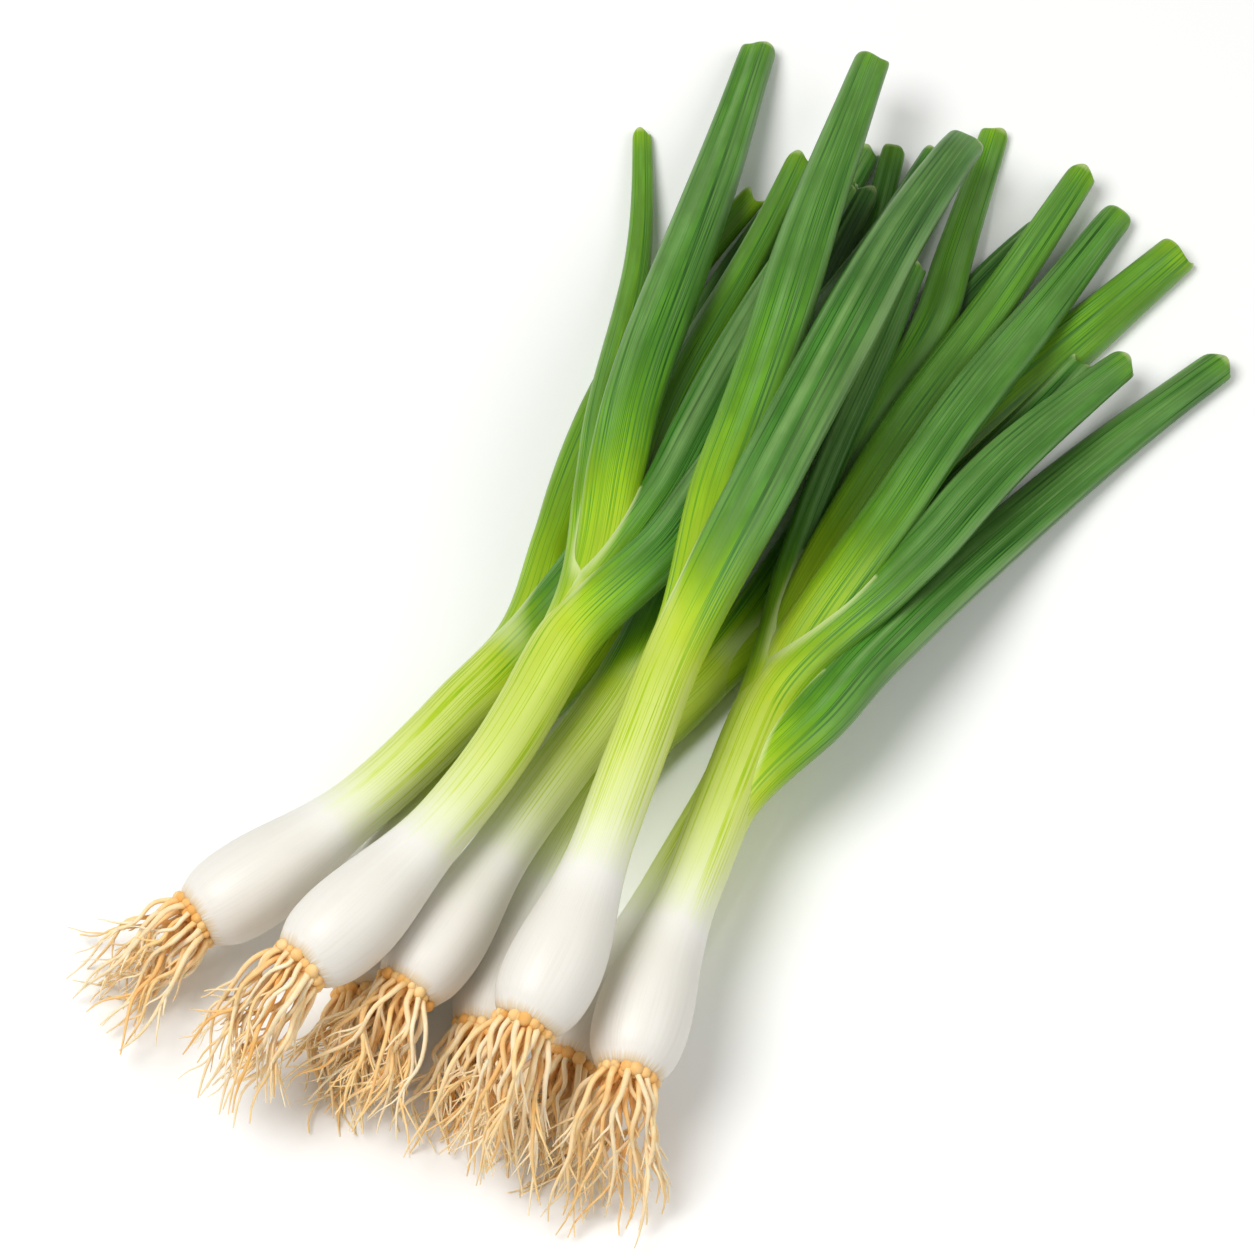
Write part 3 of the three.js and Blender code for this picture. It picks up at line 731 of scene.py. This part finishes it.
# ---- Roots: the lines ---------------------------------------------------------------------
ROOT_RINGS = [(6.8, 16, 1.2), (4.8, 11, 2.0), (2.4, 5, 2.3)]  # radius, count and how far out, mm
KNOB_RINGS = [(7.3, 16, 0.7), (5.4, 12, 1.5), (2.4, 6, 1.9)]  # the same, for the crown's knobs
KNOB = 1.7  # usual radius of a knob, mm
CROWN_RADIUS = 7  # mm
ROOT_STEPS = 18
ROOT_REACH = 32 * MM
FAR_POINTS = 60  # vertices of the CAD tuft whose height is that of its far end
STRAY = 6 * MM  # how far past the bunch's own box a root runs before it is drawn in
UNEVEN = 0.3  # how far from its even place round the crown a root or knob may be
SPREAD = 8.5  # how far sideways roots end up, mm
FAN = 10  # how far sideways the outermost are aimed, mm
ROOT_TAPER_AT = [0, 0.12, 0.6, 0.9, 1.0]
ROOT_TAPER = [1.25, 1.0, 0.72, 0.42, 0.22]
PAINTED_SHADE_INSIDE = 0.07  # painted shade deep in the tuft: darker for each mm nearer to the middle of the crown
# Below, a pair is what a number is drawn between.
BEGINS = (-0.4, 0.3)  # how far from its ring a root begins, mm
REACHES = (0.6, 1.18)  # over ROOT_REACH
END_HEIGHTS = (-4, 5)  # mm
END_RISE = 2 * MM  # roots from the crown's top end this much higher than its middle ones
LEAVES_OUT = 0.75  # how strongly a root first heads straight out of the crown
LEAVES_ASIDE = (0.25, 0.8)  # and how strongly away from the crown's middle, if it is outermost
HEADS_FOR = (0.3, 0.5)  # over what share of its reach a root keeps its first heading
WOBBLE = (1.0, 2.8)  # mm
WAVES_ACROSS = (6, 14)  # radians over the root's length, of its wide wave and its fine one
WAVES_OVER = (6.5, 15)
FINE_WAVE = 0.4
WOBBLES_SOON = 1.4
ROOT_RADII = (0.7, 0.98)  # mm
ROOT_TONES = (0.62, 0.95)
PALER_OUT = 0.1
# Painted shade at the crown, where the roots crowd: each root is darker at its start, fading out at
# START_FADES.
PAINTED_SHADE_AT_CROWN = 0.25
START_FADES = 10
ROOT_KNOB_SUNK = (0.2, 0.9)  # mm
ROOT_KNOB_RADII = (1.25, 1.75)  # mm
ROOT_KNOB_TONES = (0.3, 0.55)
KNOB_STRAYS = (-0.3, 0.3)  # mm
KNOB_SIZES = (0.68, 1.2)  # over the usual radius
KNOB_TONES = (0.35, 0.6)
SIDE_ROOTS = (1, 4)  # from the first up to, but not with, the second
SIDE_STEPS = 7
SIDE_FROM = 0.4  # share of the root's length before its first side root
SIDE_BEFORE_END = 3  # steps
SIDE_TILTS = (-0.6, 0.6)
SIDE_CURLS = (0.3, 0.75)
SIDE_LENGTHS = (5, 12)  # mm
SIDE_BEND = 1.2
SIDE_WAVE, SIDE_WAVES = 0.1, 7
SIDE_THICK, SIDE_THINS = 0.75, 0.5  # thickness over the root's at first, and how far that falls
SIDE_PALER = 0.15


class Tuft:
    """Root centrelines of one tuft, each with thickness and tone, and the knobs of its crown."""

    def __init__(self, key, seed):
        self.rng = np.random.default_rng(seed)
        stem = stems[key]
        self.crown = stem.place(np.array(0.0))
        self.out = -stem.heading(np.array(0.0))
        self.across = unit(np.cross(self.out, UP))
        self.over = np.cross(self.across, self.out)
        self.level = unit(self.out * [1, 1, 0])
        vertices = np.array([v.co for v in frame["nodes"][f"roots_{key}"].data.vertices])
        furthest = np.argsort((vertices - self.crown) @ self.level)[-FAR_POINTS:]
        self.end_height = vertices[furthest].mean(axis=0)[2]
        self.points, self.edges, self.thick, self.tone, self.knobs = [], [], [], [], []
        for ring, count, step_out in ROOT_RINGS:
            for theta in self.round_crown(count):
                self.root(theta, ring, step_out)
        for ring, count, step_out in KNOB_RINGS:
            for theta in self.round_crown(count):
                self.crown_knob(theta, ring, step_out)
        for spot, size, _ in self.knobs:
            spot[2] = max(spot[2], SURFACE + size)

    def round_crown(self, count):
        """Angles round the crown, each a little off its even place, drawn as they are used."""
        for i in range(count):
            yield FULL_TURN * (i + self.rng.uniform(-UNEVEN, UNEVEN)) / count

    def lay(self, path, radii, tone):
        """Keeps one line: over the surface, and drawn in where it strays past the bunch's box."""
        edge = np.array(cad_low[:2]) - STRAY
        past = np.maximum(edge - path[:, :2], 0)
        path[:, :2] += past - STRAY * np.tanh(past / STRAY)
        path[:, 2] = np.maximum(path[:, 2], SURFACE + radii)
        start = len(self.points)
        self.points.extend(path)
        self.thick.extend(radii)
        self.tone.extend(tone)
        self.edges.extend((start + i, start + i + 1) for i in range(len(path) - 1))

    def root(self, theta, ring, step_out):
        """One root, out of the crown and down to the surface, with the knob it grows from."""
        rng, out, across, over = self.rng, self.out, self.across, self.over
        radial = across * math.cos(theta) + over * math.sin(theta)
        begin = self.crown + radial * (ring + rng.uniform(*BEGINS)) * MM + out * step_out * MM
        sunk = begin - out * rng.uniform(*ROOT_KNOB_SUNK) * MM
        self.knobs.append((sunk, rng.uniform(*ROOT_KNOB_RADII) * MM, rng.uniform(*ROOT_KNOB_TONES)))
        reach = ROOT_REACH * rng.uniform(*REACHES)
        aside = rng.normal(0, SPREAD) + FAN * math.cos(theta) * ring / CROWN_RADIUS
        end = self.crown + self.level * reach + across * aside * MM
        end[2] = self.end_height + rng.uniform(*END_HEIGHTS) * MM + END_RISE * math.sin(theta)
        leaning = out * LEAVES_OUT + radial * ring / CROWN_RADIUS * rng.uniform(*LEAVES_ASIDE)
        lead = begin + leaning * reach * rng.uniform(*HEADS_FOR)
        t = np.linspace(0, 1, ROOT_STEPS)
        s = t[:, None]
        path = (1 - s) ** 2 * begin + 2 * s * (1 - s) * lead + s**2 * end
        q = rng.uniform(0, FULL_TURN, 6)
        a = rng.uniform(*WOBBLE, 4) * MM
        wide = a[0] * np.sin(WAVES_ACROSS[0] * s + q[0])
        fine = FINE_WAVE * a[1] * np.sin(WAVES_ACROSS[1] * s + q[1])
        wobble = across * (wide + fine)
        wide = a[2] * np.sin(WAVES_OVER[0] * s + q[2])
        fine = FINE_WAVE * a[3] * np.sin(WAVES_OVER[1] * s + q[3])
        wobble = wobble + over * (wide + fine)
        path = path + wobble * ease(s * WOBBLES_SOON)
        radii = rng.uniform(*ROOT_RADII) * MM * np.interp(t, ROOT_TAPER_AT, ROOT_TAPER)
        # Inner rings and each root's start are darker: painted shade deep in the tuft and at the crown.
        own = rng.uniform(*ROOT_TONES) - PAINTED_SHADE_INSIDE * (ROOT_RINGS[0][0] - ring)
        self.lay(path, radii, own + PALER_OUT * t - PAINTED_SHADE_AT_CROWN * np.exp(-t * START_FADES))
        for _ in range(rng.integers(*SIDE_ROOTS)):
            self.side_root(path, radii, own, q[4])

    def side_root(self, path, radii, own, phase):
        """A thin rootlet that leaves a root in its outer part and curls away from it."""
        rng, across, over = self.rng, self.across, self.over
        at = int(rng.integers(int(ROOT_STEPS * SIDE_FROM), ROOT_STEPS - SIDE_BEFORE_END))
        going = unit(path[at + 1] - path[at])
        sideways = unit(across * rng.choice([-1, 1]) + over * rng.uniform(*SIDE_TILTS))
        b = np.linspace(0, 1, SIDE_STEPS)[:, None]
        curl = sideways * rng.uniform(*SIDE_CURLS)
        wave = SIDE_WAVE * np.sin(SIDE_WAVES * b + phase)
        way = going * b + curl * b**SIDE_BEND + wave * over * b
        rootlet = path[at] + way * rng.uniform(*SIDE_LENGTHS) * MM
        thick = radii[at] * (SIDE_THICK - SIDE_THINS * b[:, 0])
        self.lay(rootlet, thick, np.full(SIDE_STEPS, own + SIDE_PALER))

    def crown_knob(self, theta, ring, step_out):
        """A knob of the crown with no root of its own."""
        rng = self.rng
        radial = self.across * math.cos(theta) + self.over * math.sin(theta)
        beside = radial * (ring + rng.uniform(*KNOB_STRAYS)) * MM
        spot = self.crown + beside + self.out * step_out * MM
        self.knobs.append((spot, KNOB * rng.uniform(*KNOB_SIZES) * MM, rng.uniform(*KNOB_TONES)))


# ---- Roots: the tubes ---------------------------------------------------------------------
ROOT_SIDES = 6
KNOB_SUBDIVISIONS = 2


def tuft_tree():
    """Turns root lines into tapering tubes and sets a knob on each loose point."""
    tree = bpy.data.node_groups.new("root_tuft", "GeometryNodeTree")
    tree.interface.new_socket(name="Geometry", in_out="INPUT", socket_type="NodeSocketGeometry")
    tree.interface.new_socket(name="Fibre", in_out="INPUT", socket_type="NodeSocketMaterial")
    tree.interface.new_socket(name="Sides", in_out="INPUT", socket_type="NodeSocketInt")
    tree.interface.new_socket(name="Geometry", in_out="OUTPUT", socket_type="NodeSocketGeometry")
    given = add(tree, "NodeGroupInput")
    by_name = "GeometryNodeInputNamedAttribute"
    thickness = add(tree, by_name, {"Name": "thickness"}, data_type="FLOAT").outputs[0]
    knob = add(tree, by_name, {"Name": "knob"}, data_type="BOOLEAN").outputs
    is_knob = [o for o in knob if o.enabled and o.type == "BOOLEAN"][0]
    halves = {"Geometry": given.outputs["Geometry"], "Selection": is_knob}
    parted = add(tree, "GeometryNodeSeparateGeometry", halves, domain="POINT")

    curve = add(tree, "GeometryNodeMeshToCurve", {"Mesh": parted.outputs["Inverted"]})
    curve = add(tree, "GeometryNodeSetCurveRadius", {"Curve": curve, "Radius": thickness})
    section = {"Resolution": given.outputs["Sides"], "Radius": 1.0}
    ring = add(tree, "GeometryNodeCurvePrimitiveCircle", section, mode="RADIUS")
    tube = {"Curve": curve, "Profile Curve": ring, "Fill Caps": True, "Scale": thickness}
    tubes = add(tree, "GeometryNodeCurveToMesh", tube)

    ball = add(tree, "GeometryNodeMeshIcoSphere", {"Radius": 1.0, "Subdivisions": KNOB_SUBDIVISIONS})
    dots = add(tree, "GeometryNodeMeshToPoints", {"Mesh": parted.outputs["Selection"]})
    size = add(tree, "ShaderNodeCombineXYZ", [thickness, thickness, thickness])
    placed = {"Points": dots, "Instance": ball, "Scale": size}
    knobs = add(tree, "GeometryNodeInstanceOnPoints", placed)
    knobs = add(tree, "GeometryNodeRealizeInstances", {"Geometry": knobs})

    joined = add(tree, "GeometryNodeJoinGeometry", [knobs])
    tree.links.new(tubes.outputs[0], joined.inputs[0])
    smooth = add(tree, "GeometryNodeSetShadeSmooth", {"Geometry": joined})
    whole = add(tree, "GeometryNodeRealizeInstances", {"Geometry": smooth})
    painted = {"Geometry": whole, "Material": given.outputs["Fibre"]}
    add(tree, "NodeGroupOutput", [add(tree, "GeometryNodeSetMaterial", painted)])
    return tree


def build_roots(key, seed, tree):
    tuft = Tuft(key, seed)
    mesh = bpy.data.meshes.new(f"lines_{key}")
    places = [tuple(p) for p in tuft.points] + [tuple(spot) for spot, _, _ in tuft.knobs]
    mesh.from_pydata(places, tuft.edges, [])
    for label, kind, values in (
        ("thickness", "FLOAT", tuft.thick + [size for _, size, _ in tuft.knobs]),
        ("tone", "FLOAT", tuft.tone + [tone for _, _, tone in tuft.knobs]),
        ("knob", "BOOLEAN", [False] * len(tuft.points) + [True] * len(tuft.knobs)),
    ):
        mesh.attributes.new(label, kind, "POINT").data.foreach_set("value", values)
    lines = bpy.data.objects.new(f"lines_{key}", mesh)
    bpy.context.scene.collection.objects.link(lines)
    modifier = lines.modifiers.new("tuft", "NODES")
    modifier.node_group = tree
    sockets = {item.name: item.identifier for item in tree.interface.items_tree if item.in_out == "INPUT"}
    modifier[sockets["Fibre"]] = root_fibre
    modifier[sockets["Sides"]] = ROOT_SIDES
    bpy.context.view_layer.update()
    finished = bpy.data.meshes.new_from_object(lines.evaluated_get(bpy.context.evaluated_depsgraph_get()))
    lines.modifiers.remove(modifier)
    bpy.data.objects.remove(lines)
    made = bpy.data.objects.new(f"fibres_roots_{key}", finished)
    bpy.context.scene.collection.objects.link(made)
    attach(made, "root")
    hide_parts(f"roots_{key}")


# ---- The bunch ----------------------------------------------------------------------------
STEM_SEED, ROOT_SEED, LEAF_SEED, LEAF_SEED_STEP = 100, 200, 300, 10
root_tuft = tuft_tree()
for number, key in enumerate(plants):
    plant_seed = STEM_SEED + number
    build_stem(key, plant_seed)
    build_roots(key, ROOT_SEED + number, root_tuft)
    leaves = partings(key)
    inner = []
    for order in reversed(range(len(leaves))):
        leaf_seed = LEAF_SEED + LEAF_SEED_STEP * number + order
        inner.append(build_leaf(key, leaf_seed, plant_seed, leaves, order, inner))

# ---- Stage --------------------------------------------------------------------------------
CAMERA_TURN = math.radians(-55)  # looks over the roots, up along the bunch
CAMERA_RISE = math.radians(60)
CAMERA_AWAY = 1.4
CAMERA_SEES = 10.0
SENSOR = 36.0  # mm, as a camera's sensor and lens are given
FRAME_WIDTH = 0.351
AIM = Vector((-18.9 * MM, -4.7 * MM, 20 * MM))
FLOOR_HALF = 4.0
ROOM_LIGHT = 0.3


def look_from(turn, rise):
    return Vector((math.sin(turn) * math.cos(rise), -math.cos(turn) * math.cos(rise), math.sin(rise)))


view = bpy.data.cameras.new("view")
view.sensor_width = SENSOR
view.lens = SENSOR / 2 / (FRAME_WIDTH / 2 / CAMERA_AWAY)
view.clip_end = CAMERA_SEES
eye = bpy.data.objects.new("view", view)
back = look_from(CAMERA_TURN, CAMERA_RISE)
eye.location = AIM + back * CAMERA_AWAY
eye.rotation_mode = "QUATERNION"
eye.rotation_quaternion = (-back).to_track_quat("-Z", "Y")
bpy.context.scene.collection.objects.link(eye)
bpy.context.scene.camera = eye

floor_mesh = bpy.data.meshes.new("floor")
corners = [(x * FLOOR_HALF, y * FLOOR_HALF, 0) for x, y in ((-1, -1), (1, -1), (1, 1), (-1, 1))]
floor_mesh.from_pydata(corners, [], [(0, 1, 2, 3)])
floor_mesh.materials.append(surface_material())
floor = bpy.data.objects.new("floor", floor_mesh)
bpy.context.scene.collection.objects.link(floor)


def soft_light(name, turn, rise, away, size, power):
    """A round soft light that shines on the bunch; turn and rise are degrees, power is watts."""
    lamp = bpy.data.lights.new(name, "AREA")
    lamp.shape = "DISK"
    lamp.size = size
    lamp.energy = power
    holder = bpy.data.objects.new(name, lamp)
    towards = look_from(math.radians(turn), math.radians(rise))
    holder.location = towards * away
    holder.rotation_mode = "QUATERNION"
    holder.rotation_quaternion = (-towards).to_track_quat("-Z", "Y")
    bpy.context.scene.collection.objects.link(holder)


soft_light("key", turn=-132, rise=66, away=1.6, size=0.95, power=20.5)
soft_light("fill", turn=20, rise=50, away=1.8, size=1.2, power=9)
world = bpy.data.worlds.new("studio")
world.use_nodes = True
background = world.node_tree.nodes["Background"]
background.inputs["Color"].default_value = (1.0, 1.0, 1.0, 1.0)
background.inputs["Strength"].default_value = ROOM_LIGHT
bpy.context.scene.world = world
bpy.context.scene.view_settings.view_transform = "Standard"
